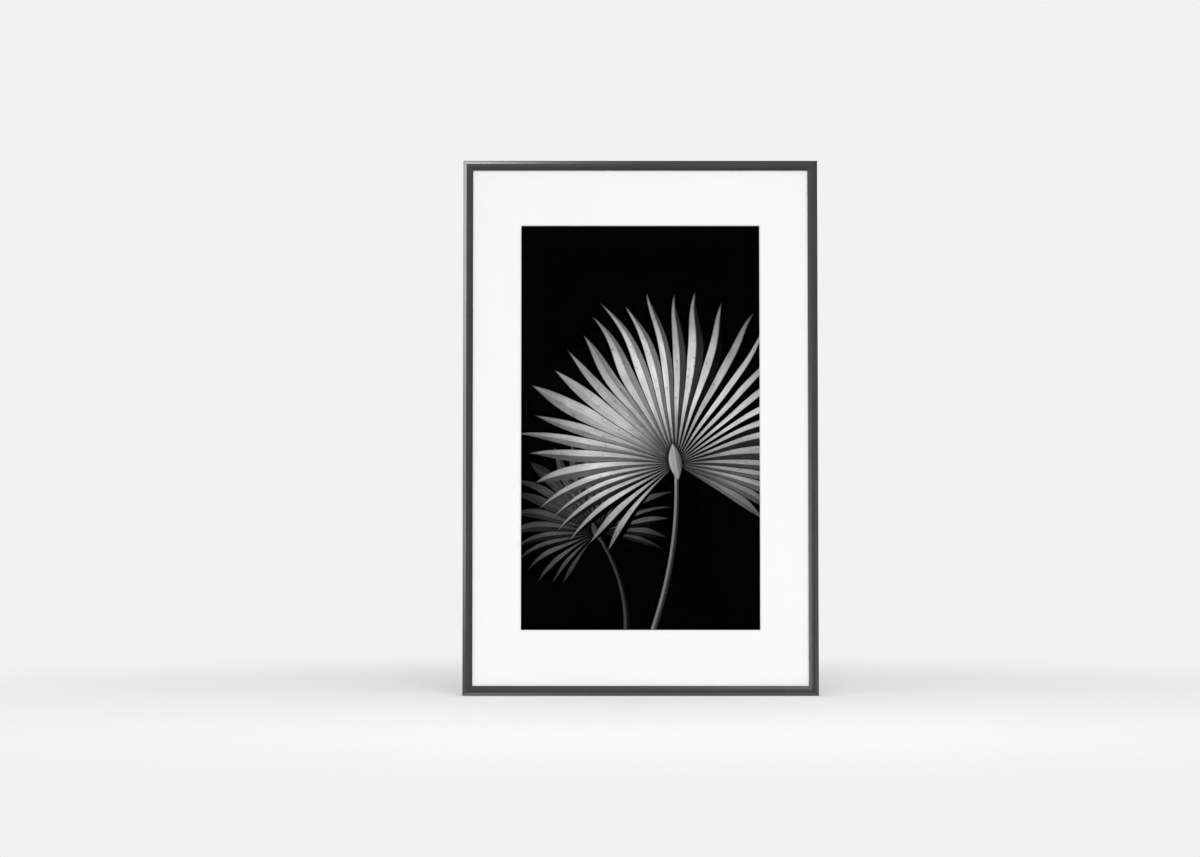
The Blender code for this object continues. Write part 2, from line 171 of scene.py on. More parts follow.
def rail(name, length):
    """A rail in the bottom one's place: the section is cut out of a plane, drawn out and mitred."""
    piece = begin(name, bpy.ops.mesh.primitive_plane_add, size=1, rotation=(0, math.pi / 2, 0))
    bpy.ops.object.mode_set(mode="OBJECT")
    piece.scale = (FACE, DEPTH, 1)
    piece.location = (-length / 2, 0, FACE / 2)
    bpy.ops.object.transform_apply(location=True, rotation=True, scale=True)
    bpy.ops.object.mode_set(mode="EDIT")
    for across in (OUTER_WALL, *SLOT, CHANNEL_INNER, INNER_WALL_OUTSIDE):
        saw((0, 0, across), (0, 0, 1))
    for back in (LIP, WEB_FRONT, WEB_BACK, REAR_LIPS):
        saw((0, FRONT + back, 0), (0, 1, 0))

    def in_a_hollow(face):
        across = middle(face).z
        back = middle(face).y - FRONT
        package = across > OUTER_WALL and LIP < back < WEB_FRONT
        recess = across > INNER_WALL_OUTSIDE and back > LIP
        channel = OUTER_WALL < across < CHANNEL_INNER and WEB_BACK < back < REAR_LIPS
        slot = SLOT[0] < across < SLOT[1] and back > REAR_LIPS
        return package or recess or channel or slot

    pick(piece, "faces", in_a_hollow)
    bpy.ops.mesh.delete(type="FACE")
    outer_width, outer_depth = OUTER_CHAMFER
    inner_width, inner_depth = INNER_CHAMFER
    saw((0, FRONT, outer_width), (0, -outer_width, -outer_depth), keep_beyond=False)
    saw((0, FRONT, FACE - inner_width), (0, -inner_width, inner_depth), keep_beyond=False)
    bpy.ops.mesh.select_all(action="SELECT")
    bpy.ops.mesh.dissolve_limited(angle_limit=FLAT)
    bpy.ops.object.mode_set(mode="OBJECT")
    apply(piece, "drawn_out", "SOLIDIFY", thickness=length, offset=1)
    bpy.ops.object.mode_set(mode="EDIT")
    bpy.ops.mesh.select_all(action="SELECT")
    bpy.ops.mesh.normals_make_consistent(inside=False)

    def along(edge):
        return abs(edge.verts[0].co.x - edge.verts[1].co.x) > length / 2

    pick(piece, "edges", lambda edge: along(edge) and middle(edge).y < FRONT + LIP - WELD)
    bpy.ops.mesh.bevel(offset=FACE_ARRIS, segments=4, affect="EDGES")
    pick(piece, "edges", lambda edge: along(edge) and edge.calc_face_angle() > SQUARE)
    bpy.ops.mesh.bevel(offset=HIDDEN_ARRIS, segments=2, affect="EDGES")
    for side in (-1, 1):
        tip = (side * (length / 2 - MITRE_HAIRLINE), 0, 0)
        saw(tip, (side, 0, 1), keep_beyond=False, fill=True)
    # Beveling many edges leaves the faces in another order each run, so they are sorted.
    bpy.context.scene.cursor.location = SORT_FROM
    bpy.ops.mesh.select_all(action="SELECT")
    bpy.ops.mesh.sort_elements(type="CURSOR_DISTANCE", elements={"FACE"})
    bpy.context.scene.cursor.location = (0, 0, 0)
    close(piece)
    return piece


class Field:
    """A number or vector that changes over a surface. Sums on it become the material's nodes."""

    def __init__(self, tree, socket):
        self.tree = tree
        self.socket = socket

    def __add__(self, other):
        return worked(self.tree, "ADD", self, other)

    def __sub__(self, other):
        return worked(self.tree, "SUBTRACT", self, other)

    def __rsub__(self, other):
        return worked(self.tree, "SUBTRACT", other, self)

    def __mul__(self, other):
        return worked(self.tree, "MULTIPLY", self, other)

    def __truediv__(self, other):
        return worked(self.tree, "DIVIDE", self, other)

    def __pow__(self, power):
        return worked(self.tree, "POWER", self, power)

    def __abs__(self):
        return worked(self.tree, "ABSOLUTE", self)

    __radd__ = __add__
    __rmul__ = __mul__


def feed(tree, socket, value):
    """Lead a field into a socket, or set the socket to a plain value."""
    if isinstance(value, Field):
        tree.links.new(value.socket, socket)
    else:
        socket.default_value = value


def node(tree, kind, output=0, settings=(), **inputs):
    """A node with its settings and inputs given by name, as the field of one of its outputs."""
    made = tree.nodes.new("ShaderNode" + kind)
    for key, value in dict(settings).items():
        setattr(made, key, value)
    for key, value in inputs.items():
        feed(tree, made.inputs[key.replace("_", " ")], value)
    return Field(tree, made.outputs[output])


def worked(tree, operation, *values):
    """One sum of up to three fields or numbers."""
    made = tree.nodes.new("ShaderNodeMath")
    made.operation = operation
    for socket, value in zip(made.inputs, values):
        feed(tree, socket, value)
    return Field(tree, made.outputs[0])


def ramp(value, low, high, to_low=0, to_high=1, kind="LINEAR"):
    """The field led from one range to another, and held inside it."""
    settings = {"interpolation_type": kind}
    reach = {"From_Min": low, "From_Max": high, "To_Min": to_low, "To_Max": to_high}
    return node(value.tree, "MapRange", 0, settings, Value=value, **reach)


def ease(value, low, high, to_low=0, to_high=1):
    """As ramp, with soft ends."""
    return ramp(value, low, high, to_low, to_high, "SMOOTHSTEP")


def vector(tree, x, y, z=0):
    """Three fields as one vector."""
    return node(tree, "CombineXYZ", X=x, Y=y, Z=z)


def parts(place):
    """The three numbers of a vector field."""
    split = node(place.tree, "SeparateXYZ", Vector=place)
    return [Field(place.tree, socket) for socket in split.socket.node.outputs]


def stretched(place, scale):
    """A vector field scaled along each axis, so that a pattern on it is drawn out."""
    return node(place.tree, "Mapping", Vector=place, Scale=scale)


def noise(place, scale=1, detail=2, roughness=0.5, dimensions="3D"):
    """Soft noise from 0 to 1 over a vector field."""
    settings = {"noise_dimensions": dimensions}
    pattern = {"Scale": scale, "Detail": detail, "Roughness": roughness}
    return node(place.tree, "TexNoise", 0, settings, Vector=place, **pattern)


def group(name, inputs, outputs, build):
    """A shader node group. build(tree, field of each input) returns the field of each output."""
    tree = bpy.data.node_groups.new(name, "ShaderNodeTree")
    for label, kind in inputs.items():
        tree.interface.new_socket(label, in_out="INPUT", socket_type="NodeSocket" + kind)
    for label in outputs:
        tree.interface.new_socket(label, in_out="OUTPUT", socket_type="NodeSocketFloat")
    entry = tree.nodes.new("NodeGroupInput")
    results = build(tree, *[Field(tree, entry.outputs[label]) for label in inputs])
    end = tree.nodes.new("NodeGroupOutput")
    for label, result in zip(outputs, results):
        feed(tree, end.inputs[label], result)
    return tree


def use(tree, made_group, **inputs):
    """Place a group in a material, and give back the field of each of its outputs."""
    placed = tree.nodes.new("ShaderNodeGroup")
    placed.node_tree = made_group
    for key, value in inputs.items():
        feed(tree, placed.inputs[key.replace("_", " ")], value)
    return [Field(tree, socket) for socket in placed.outputs]


def material(name, **plain):
    """A new material with plain values on its shader, its tree and the object's own coordinates."""
    made = bpy.data.materials.new(name)
    made.use_nodes = True
    tree = made.node_tree
    shader = tree.nodes["Principled BSDF"]
    for key, value in plain.items():
        shader.inputs[key.replace("_", " ")].default_value = value
    place = node(tree, "TexCoord", "Object")
    return made, tree, place


def finish(made, bump=None, height=None, **fields):
    """Lead fields into a material's shader, and a height field through a bump of that depth."""
    tree = made.node_tree
    shader = tree.nodes["Principled BSDF"]
    for key, value in fields.items():
        feed(tree, shader.inputs[key.replace("_", " ")], value)
    if height:
        normal = node(tree, "Bump", Height=height, Distance=bump, Strength=1.0)
        feed(tree, shader.inputs["Normal"], normal)


def tinted(tone, colour, dark=(0, 0, 0)):
    """A colour that follows a tone field, from a dark one at 0 to its own strength at 1."""
    made = tone.tree.nodes.new("ShaderNodeMix")
    made.data_type = "RGBA"
    made.clamp_factor = False
    feed(tone.tree, made.inputs["Factor"], tone)
    for socket, value in ((made.inputs[6], dark), (made.inputs[7], colour)):
        feed(tone.tree, socket, value if isinstance(value, Field) else (*value, 1))
    return Field(tone.tree, made.outputs[2])


# Patterns are scaled in waves to the metre: few along the drawing, and thousands across it.
FINE_LINES = (3, 5200, 5200)
BROAD_LINES = (1.2, 900, 900)
METAL_GRAIN = 5200
METAL_CLOUDS = 26
TEMPER_PATCHES = 70
LINES_SHOW = 0.34
CLOUDS_SHOW = 0.12
GRAIN_SHOWS = 0.22


def drawn_lines(tree, place):
    """Lines left by a die or a rolling mill along X of the given place, with cloudy patches."""
    fine = noise(stretched(place, FINE_LINES), detail=1)
    broad = noise(stretched(place, BROAD_LINES), detail=2)
    cloud = noise(place, scale=METAL_CLOUDS, detail=3)
    grain = noise(place, scale=METAL_GRAIN, detail=1)
    lines = fine * 0.55 + broad * 0.45
    tone = 1 + (lines - 0.5) * LINES_SHOW
    tone = tone + (cloud - 0.5) * CLOUDS_SHOW + (grain - 0.5) * GRAIN_SHOWS
    grip = ramp(lines * 0.6 + grain * 0.4, 0.3, 0.7)
    patches = ease(noise(place, scale=TEMPER_PATCHES, detail=3), 0.42, 0.68)
    return tone, grip, lines * 0.7 + grain * 0.3, patches


LINES = group(
    "drawn_lines", {"Place": "Vector"}, ("Tone", "Grip", "Height", "Patches"), drawn_lines
)


def drawn_metal(name, colour, temper, roughness, bump):
    """A metal with lines along X for level pieces, and one with lines along Z for upright ones.
    Patches of it have the temper's colour."""
    both = []
    for lie, turn in (("_level", 0), ("_upright", math.pi / 2)):
        made, tree, place = material(name + lie, Metallic=1)
        lined_up = node(tree, "Mapping", Vector=place, Rotation=(0, turn, 0))
        tone, grip, height, patches = use(tree, LINES, Place=lined_up)
        finish(
            made,
            bump,
            height,
            Base_Color=tinted(tone, tinted(patches, temper, colour)),
            Roughness=ramp(grip, 0, 1, *roughness),
        )
        both.append(made)
    return both


GRAPHITE = (0.078, 0.078, 0.081)
GRAPHITE_WARM = (0.078, 0.077, 0.077)
anodised = drawn_metal(
    "graphite_anodised", GRAPHITE, GRAPHITE_WARM, roughness=(0.31, 0.40), bump=0.004 * MM
)
for side, (centre, turn, length) in SIDES.items():
    piece = rail("frame_" + side, length)
    carry(piece, centre, turn)
    fit(piece, anodised[side in ("left", "right")], "rail_graphite", "rail_" + side)


# Glazing: one clear sheet with a low-reflection coating, held behind the lips of the rails. It is
# cut from sheet and polished flat, so that it is seen only by what it mirrors at a slant.
SEEN_AHEAD = 0.05
SEEN_AT_A_SLANT = 0.8
SMEARS = (9, 9, 14)
POLISH = (0.02, 0.05)
glass, tree, place = material(
    "clear_glazing", Base_Color=(0, 0, 0, 1), IOR=1.49, Specular_IOR_Level=0.12
)
slant = node(tree, "LayerWeight", "Facing", Blend=0.5)
smears = noise(stretched(place, SMEARS), detail=3)
finish(
    glass,
    Alpha=slant ** 4 * SEEN_AT_A_SLANT + SEEN_AHEAD,
    Roughness=ramp(smears, 0.35, 0.7, *POLISH),
)
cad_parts["glazing"].data.materials[0] = glass


# Mat: a white board of 1.6 mm with the window cut through it at 45 degrees, so that its pure
# white core shows as a narrow bevel all round. The face is uncoated paper with a fine tooth.
MAT_BOARD = 1.6 * MM
WINDOW = (339.0 * MM, 574.5 * MM)
MAT_WHITE = (0.925, 0.925, 0.918)
CORE_WHITE = 0.97
PAPER_RELIEF = 0.02 * MM
PAPER_MATT = (0.84, 0.96)
TOOTH = 1500
FIBRE_ALONG = 160
FIBRE_ACROSS = 900


def fibres(tree, place):
    """Short matted fibres: a tooth that can be felt, and flecks that are lighter or darker."""
    upright = (FIBRE_ACROSS, FIBRE_ACROSS, FIBRE_ALONG)
    level = (FIBRE_ALONG, FIBRE_ACROSS, FIBRE_ACROSS)
    tooth = noise(place, scale=TOOTH, detail=3, roughness=0.6)
    strands = noise(stretched(place, upright), detail=2)
    crossed = noise(stretched(place, level), detail=2)
    flecks = (strands + crossed) * 0.5
    cloud = noise(place, scale=14, detail=4)
    return tooth, flecks, cloud


FIBRES = group("fibres", {"Place": "Vector"}, ("Tooth", "Flecks", "Cloud"), fibres)

board, tree, place = material("white_mat_board", Specular_IOR_Level=0.25)
tooth, flecks, cloud = use(tree, FIBRES, Place=place)
x, _, z = parts(place)
beyond_side = abs(x) - (WINDOW[0] / 2 + MAT_BOARD)
beyond_end = abs(z - MIDDLE_Z) - (WINDOW[1] / 2 + MAT_BOARD)
core = worked(tree, "LESS_THAN", worked(tree, "MAXIMUM", beyond_side, beyond_end), 0)
paper_tone = 1 + (flecks - 0.5) * 0.05 + (cloud - 0.5) * 0.015
finish(
    board,
    PAPER_RELIEF,
    tooth,
    Base_Color=tinted(paper_tone * (1 - core) + core * (CORE_WHITE / MAT_WHITE[0]), MAT_WHITE),
    Roughness=ramp(tooth, 0.3, 0.7, *PAPER_MATT),
)
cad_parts["mat"].data.materials[0] = board


# Print: a matt black and white sheet, behind the window and a margin wider all round. It shows a
# fan palm's leaf lit from the upper left, with a smaller leaf in the dark behind it, all printed
# in one black ink on white paper.
SHEET_LOW, SHEET_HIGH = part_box("print")
SHEET_SIZE = SHEET_HIGH - SHEET_LOW
SHEET_EDGE = 0.08 * MM
HIDDEN_SHARE = 0.55
SIDE_SHARE = 0.33
BESIDE = 0.64
END_ROWS = 0.60
SIDE_ROWS = 0.66
ROW_STEP = 0.02
FACING = 0.99
LIGHT_FROM = math.radians(-50)
BRIGHTEST = (-0.06, 0.10)
LIGHT_REACH = (-0.07, 0.31)
LIT_MOST = 1.30
LIGHT_FADES = 0.90
DROOP = 0.35
SWAY = 0.24
SIDES_SHORTER = 0.38
LENGTHS_VARY = 0.12
SPLIT_FROM = 0.52
TIP_NODS = 0.72
STEM_HALF_WIDTH = 0.0030
STEM_WIDENS = 0.0018
STEM_BOW = 0.012
PRINT_GRAIN = 2600
PRINT_GRAIN_SHOWS = 0.30
INKED_FULLY = 0.004
BARE_PAPER = 0.93
INK_RELIEF = 0.006 * MM
INK_MATT = (0.62, 0.76)


def fan_leaf(tree, place, count, span, seed, light):
    """A fan of folded segments around the middle of the place, whose longest tip is 1 away."""
    across, _, along = parts(place)
    far = worked(tree, "SQRT", across * across + along * along)
    turn = worked(tree, "ARCTAN2", across, along)
    turn = turn - far * far * turn * (DROOP / math.pi)
    sway = noise(vector(tree, turn * 2.3 + seed, far * 1.6), detail=0, dimensions="2D")
    turn = turn + (sway - 0.5) * far * SWAY
    spread = turn / span * count + count * 0.5
    index = worked(tree, "FLOOR", spread)
    fold = (spread - index) * 2 - 1

    def chance(number):
        settings = {"noise_dimensions": "2D"}
        return node(tree, "TexWhiteNoise", 0, settings, Vector=vector(tree, index, seed + number))

    long_short, light_dark, split_at = chance(0), chance(1), chance(2)
    outward = abs((index + 0.5) / count * 2 - 1)
    length = (1 - outward ** 2.2 * SIDES_SHORTER) * (1 - LENGTHS_VARY + long_short * LENGTHS_VARY)
    start = SPLIT_FROM * (0.88 + split_at * 0.24) * (1 - outward * 0.25)
    run = ramp((far - start) / (length - start), 0, 1)
    width = 1 - run ** 1.35
    fold = fold + (light_dark - 0.5) * run * run * TIP_NODS
    inside = worked(tree, "GREATER_THAN", spread, 0) * worked(tree, "LESS_THAN", spread, count)
    inside = inside * worked(tree, "LESS_THAN", far, length)
    mask = ramp(width - abs(fold), 0, 0.10) * inside

    tilt = worked(tree, "SINE", light - ((index + 0.5) / count - 0.5) * span)
    lit = 0.44 + ease(fold, -0.10, 0.10, -1, 1) * tilt * 0.46
    rib = ease(abs(fold), 0.10, 0)
    valley = ease(abs(fold), 0.86, 1.0) * ease(far - start, 0.06, 0)
    fine = noise(vector(tree, spread * 26, far * 5), detail=1, dimensions="2D")
    finer = noise(vector(tree, spread * 61, far * 9), detail=1, dimensions="2D")
    veins = ramp(fine * 0.6 + finer * 0.4, 0.28, 0.72)
    bands = ramp(noise(vector(tree, spread * 2, far * 7), detail=2, dimensions="2D"), 0.3, 0.7)
    spots = ease(noise(vector(tree, spread * 3.1, far * 34), detail=2, dimensions="2D"), 0.64, 0.76)
    tone = lit * (0.70 + veins * 0.42) * (0.78 + bands * 0.30) * (0.72 + light_dark * 0.46)
    tone = (tone + rib * 0.17 * (0.4 + veins * 0.6)) * (1 - valley * 0.80) * (1 - spots * 0.35)
    crown = ease(far, 0.02, 0.40) * (1 - ease(far / length, 0.52, 1) * 0.66)
    tone = tone * (0.16 + crown * 1.06)

    crest = abs(across) * 27 + ((along - 0.012) * 9.5) ** 2
    crest_mask = ease(crest, 1.0, 0.86)
    crest_tone = 0.34 + ramp(across, -0.03, 0.03, 0.30, -0.20) + ease(abs(across), 0.006, 0) * 0.22
    tone = tone * (1 - ease(crest, 1.9, 0.9) * 0.7)
    tone = tone * (1 - crest_mask) + crest_tone * crest_mask
    return tone, worked(tree, "MAXIMUM", mask, crest_mask)


def leaf_stem(tree, place, foot, bow):
    """A stem from the middle of the place down to 1 below it, that ends at foot and bows aside."""
    across, _, along = parts(place)
    run = ramp(along * -1, 0, 1)
    bend = foot * run + bow * 4 * run * (1 - run)
    half = STEM_HALF_WIDTH + run * STEM_WIDENS
    side = (across - bend) / half
    coarse = noise(vector(tree, side * 5, along * 7), detail=1, dimensions="2D")
    fine = noise(vector(tree, side * 12, along * 17), detail=1, dimensions="2D")
    sheen = ease(abs(side + 0.42), 0.8, 0)
    tone = (0.08 + sheen * 0.55) * (0.62 + (coarse + fine) * 0.38)
    mask = ramp(abs(side), 1, 0.86) * worked(tree, "LESS_THAN", along, 0)
    return tone, mask


FAN_LEAF = group(
    "fan_leaf",
    {"Place": "Vector", "Count": "Float", "Span": "Float", "Seed": "Float", "Light": "Float"},
    ("Tone", "Mask"),
    fan_leaf,
)
LEAF_STEM = group(
    "leaf_stem",
    {"Place": "Vector", "Foot": "Float", "Bow": "Float"},
    ("Tone", "Mask"),
    leaf_stem,
)


def leaf(tree, place, hub, reach, lean, count, span, seed, foot):
    """The tone and mask of one stem and of its leaf, from the hub's place in the window."""
    centre = (hub[0], 0, MIDDLE_Z + hub[1])
    drop = hub[1] + WINDOW[1] / 2
    settings = {"vector_type": "TEXTURE"}
    down = node(tree, "Mapping", 0, settings, Vector=place, Location=centre, Scale=(1, 1, drop))
    stem = use(tree, LEAF_STEM, Place=down, Foot=foot - hub[0], Bow=STEM_BOW)
    turn = math.radians(lean)
    fan = {"Location": centre, "Rotation": (0, turn, 0), "Scale": (reach, reach, reach)}
    inward = node(tree, "Mapping", 0, settings, Vector=place, **fan)
    facts = {"Count": count, "Span": math.radians(span), "Seed": seed, "Light": LIGHT_FROM - turn}
    return stem, use(tree, FAN_LEAF, Place=inward, **facts)


ink, tree, place = material("printed_leaf_study", Specular_IOR_Level=0.0)
x, _, z = parts(place)
back_stem, back_leaf = leaf(
    tree,
    place,
    hub=(-0.062, -0.150),
    reach=0.150,
    lean=-24,
    count=24,
    span=250,
    seed=5,
    foot=-0.020,
)
near_stem, near_leaf = leaf(
    tree,
    place,
    hub=(0.050, -0.052),
    reach=0.256,
    lean=-9,
    count=34,
    span=262,
    seed=2,
    foot=0.018,
)
picture = 0
for (tone, mask), strength in (
    (back_stem, 0.22),
    (back_leaf, 0.22),
    (near_stem, 0.80),
    (near_leaf, 1.0),
):
    picture = picture * (1 - mask) + tone * mask * strength if picture else tone * mask * strength
off_x = x - BRIGHTEST[0]
off_z = z - (MIDDLE_Z + BRIGHTEST[1])
from_light = worked(tree, "SQRT", off_x * off_x + off_z * off_z)
picture = picture * (LIT_MOST - ease(from_light, *LIGHT_REACH) * LIGHT_FADES)
grain = noise(place, scale=PRINT_GRAIN, detail=1)
picture = picture * (1 + (grain - 0.5) * PRINT_GRAIN_SHOWS)
tooth = use(tree, FIBRES, Place=place)[0]
finish(
    ink,
    INK_RELIEF,
    tooth,
    Base_Color=ramp(picture, INKED_FULLY, BARE_PAPER, 0, BARE_PAPER),
    Roughness=ramp(tooth, 0.3, 0.7, *INK_MATT),
)


def standing_plane(name, low, high):
    """A plane over the back of a box, with its edges along X and Z, open for shaping."""
    upright = (math.pi / 2, 0, 0)
    piece = begin(name, bpy.ops.mesh.primitive_plane_add, size=1, rotation=upright)
    bpy.ops.object.mode_set(mode="OBJECT")
    piece.scale = (high.x - low.x, high.z - low.z, 1)
    piece.location = ((low.x + high.x) / 2, high.y, (low.z + high.z) / 2)
    bpy.ops.object.transform_apply(location=True, rotation=True, scale=True)
    bpy.ops.object.mode_set(mode="EDIT")
    return piece


piece = standing_plane("leaf_print", SHEET_LOW, SHEET_HIGH)
bpy.ops.mesh.select_all(action="SELECT")
bpy.ops.mesh.extrude_region_move(TRANSFORM_OT_translate={"value": (0, -SHEET_SIZE.y, 0)})
pick(piece, "edges", lambda edge: abs(edge.verts[0].co.y - edge.verts[1].co.y) < WELD)
bpy.ops.mesh.bevel(offset=SHEET_EDGE, segments=2, affect="EDGES")
close(piece)
# On the map the front fills the left part, and the hidden back and edges lie small beside it.
chart = piece.data.uv_layers.new(name="OFBake")
for face in piece.data.polygons:
    for corner in face.loop_indices:
        point = piece.data.vertices[piece.data.loops[corner].vertex_index].co
        from_left = (point.x - SHEET_LOW.x) / SHEET_SIZE.z
        from_foot = (point.z - SHEET_LOW.z) / SHEET_SIZE.z
        inset = (point.y - SHEET_LOW.y) / SHEET_SIZE.z
        if face.normal.y < -FACING:
            chart.data[corner].uv = (from_left, from_foot)
        elif face.normal.y > FACING:
            chart.data[corner].uv = (BESIDE + from_left * HIDDEN_SHARE, from_foot * HIDDEN_SHARE)
        elif abs(face.normal.z) > abs(face.normal.x):
            row = END_ROWS + ROW_STEP * (face.normal.z > 0)
            chart.data[corner].uv = (BESIDE + from_left * HIDDEN_SHARE, row + inset)
        else:
            row = BESIDE + ROW_STEP * (face.normal.x > 0)
            chart.data[corner].uv = (row + inset, SIDE_ROWS + from_foot * SIDE_SHARE)
fit(piece, ink, "print_ink", "print")


# Backing: a sheet of brown hardboard pressed from wood fibre, smooth on the side that shows, cut
# to the same size as the glazing and held by the clips.
HARDBOARD = (0.235, 0.142, 0.078)
BOARD_RELIEF = 0.03 * MM
BOARD_SHEEN = (0.55, 0.78)
STIR = 0.022
DARK_SHIVES = (1500, 1500, 420)
PALE_SHIVES = (460, 1700, 1700)
MOTTLE = 240
hardboard, tree, place = material("brown_hardboard")
tooth, flecks, cloud = use(tree, FIBRES, Place=place)
x, y, z = parts(place)
swirl = (noise(place, scale=75, detail=1) - 0.5) * STIR
stir = (noise(place, scale=95, detail=1) - 0.5) * STIR
stirred = vector(tree, x + swirl, y, z + stir)
dark_shives = ease(noise(stretched(stirred, DARK_SHIVES), detail=1), 0.66, 0.76)
pale_shives = ease(noise(stretched(stirred, PALE_SHIVES), detail=1), 0.66, 0.76)
mottle = noise(stirred, scale=MOTTLE, detail=4, roughness=0.7)
tone = 1 + (flecks - 0.5) * 0.5 + (cloud - 0.5) * 0.35 + (mottle - 0.5) * 0.45
tone = tone - dark_shives * 0.30 + pale_shives * 0.32
finish(
    hardboard,
    BOARD_RELIEF,
    tooth,
    Base_Color=tinted(tone, HARDBOARD),
    Roughness=ramp(flecks, 0.35, 0.65, *BOARD_SHEEN),
)
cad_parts["backing"].data.materials[0] = hardboard


# Spring clips: bowed strips of blued spring steel with round corners, pushed between the web and
# the backing. Their ends press on the backing and their crowned middle on the web.
BLUED = (0.195, 0.217, 0.255)
STRAW = (0.250, 0.233, 0.215)
blued = drawn_metal("blued_spring_steel", BLUED, STRAW, roughness=(0.24, 0.36), bump=0.003 * MM)
CLIP_SHEET = 0.5 * MM
CLIP_CORNER = 3.5 * MM
CLIP_ARRIS = 0.08 * MM
CLIP_STEPS = 28
CLIP_CORNER_STEPS = 5
CLIP_NUMBERS = range(1, 11)
ARRIS_FROM = math.radians(50)


def spring_clip(name, low, high, upright):
    """One bowed strip that fills the box of its node."""
    size = high - low
    length = size.z if upright else size.x
    width = size.x if upright else size.z
    rise = size.y - CLIP_SHEET
    radius = (length * length / 4 + rise * rise) / (2 * rise)
    half_turn = math.asin(length / 2 / radius)
    piece = begin(name, bpy.ops.mesh.primitive_plane_add, size=1)
    pick(piece, "verts", lambda vert: vert.co.x > 0)
    bpy.ops.mesh.delete(type="VERT")
    bpy.ops.mesh.select_all(action="SELECT")
    bpy.ops.transform.translate(value=(0.5, 0, 0))
    bpy.ops.transform.rotate(value=math.pi / 2, orient_axis="X", center_override=(0, 0, 0))
    bpy.ops.transform.resize(value=(1, 1, width))
    bpy.ops.transform.translate(value=(0, rise, 0))
    centre = (0, rise - radius, 0)
    bpy.ops.transform.rotate(value=-half_turn, orient_axis="Z", center_override=centre)
    bpy.ops.mesh.spin(
        steps=CLIP_STEPS, angle=2 * half_turn, center=centre, axis=(0, 0, 1), use_normal_flip=False
    )
    shape = bmesh.from_edit_mesh(piece.data)
    ends = [vert for vert in shape.verts if len(vert.link_edges) == 2]
    for vert in shape.verts:
        vert.select_set(vert in ends)
    bmesh.update_edit_mesh(piece.data)
    bpy.ops.mesh.bevel(offset=CLIP_CORNER, segments=CLIP_CORNER_STEPS, affect="VERTICES")
    bpy.ops.object.mode_set(mode="OBJECT")
    apply(piece, "wall", "SOLIDIFY", thickness=CLIP_SHEET, offset=1)
    apply(piece, "arris", "BEVEL", width=CLIP_ARRIS, segments=2, angle_limit=ARRIS_FROM)
    bpy.ops.object.mode_set(mode="EDIT")
    close(piece)
    carry(piece, ((low.x + high.x) / 2, low.y, (low.z + high.z) / 2), math.pi / 2 if upright else 0)
    return piece


for number in CLIP_NUMBERS:
    name = f"spring_clip_{number}"
    low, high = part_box(name)
    upright = high.z - low.z > high.x - low.x
    piece = spring_clip(f"bowed_clip_{number}", low, high, upright)
    fit(piece, blued[upright], "clip_spring_steel", name)


# Corner plates: each corner is locked by an L of zinc-plated sheet steel, stamped with two tapped
# holes, that lies in the rear channel behind the lips.
ZINC = (0.62, 0.62, 0.60)
ZINC_RELIEF = 0.006 * MM
ZINC_SHEEN = (0.26, 0.46)
SPANGLES = 420
SCRATCHES = (260, 3800, 2600)
PLATE_NUMBERS = range(1, 5)


def spangle(tree, place):
    """The soft, mottled crystals of zinc plate, with faint passivation tints."""
    crystals = {"Scale": SPANGLES, "Randomness": 1.0}
    cells = node(tree, "TexVoronoi", "Color", {"feature": "F1"}, Vector=place, **crystals)
    shade = parts(cells)[0]
    cloud = noise(place, scale=180, detail=3)
    scratch = noise(stretched(place, SCRATCHES), detail=1)
    tone = 0.84 + shade * 0.14 + cloud * 0.14 + (scratch - 0.5) * 0.22
    return tone, ramp(shade * 0.4 + cloud * 0.6, 0.2, 0.8), cloud * 0.4 + scratch * 0.6


SPANGLE = group("spangle", {"Place": "Vector"}, ("Tone", "Grip", "Height"), spangle)
zinc, tree, place = material("zinc_plate", Metallic=1)
tone, grip, height = use(tree, SPANGLE, Place=place)
finish(
    zinc,
    ZINC_RELIEF,
    height,
    Base_Color=tinted(tone, ZINC),
    Roughness=ramp(grip, 0, 1, *ZINC_SHEEN),
)
for number in PLATE_NUMBERS:
    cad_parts[f"corner_plate_{number}"].data.materials[0] = zinc


# Set screws: M4 grub screws with a rolled thread and a slot, driven through the plates against
# the web, so that each plate is forced back against the rear lips.
PITCH = 0.70 * MM
THREAD_DEPTH = 0.38 * MM
THREAD_STEPS = 20
SCREW_SLOT = (0.8 * MM, 0.9 * MM)
SCREW_NUMBERS = range(1, 9)
TURN_BY_SCREW = 0.7

# Each step of the thread's section goes out, and up by a share of the pitch.
THREAD = ((0, 0.10), (THREAD_DEPTH, 0.35), (0, 0.10), (-THREAD_DEPTH, 0.45))


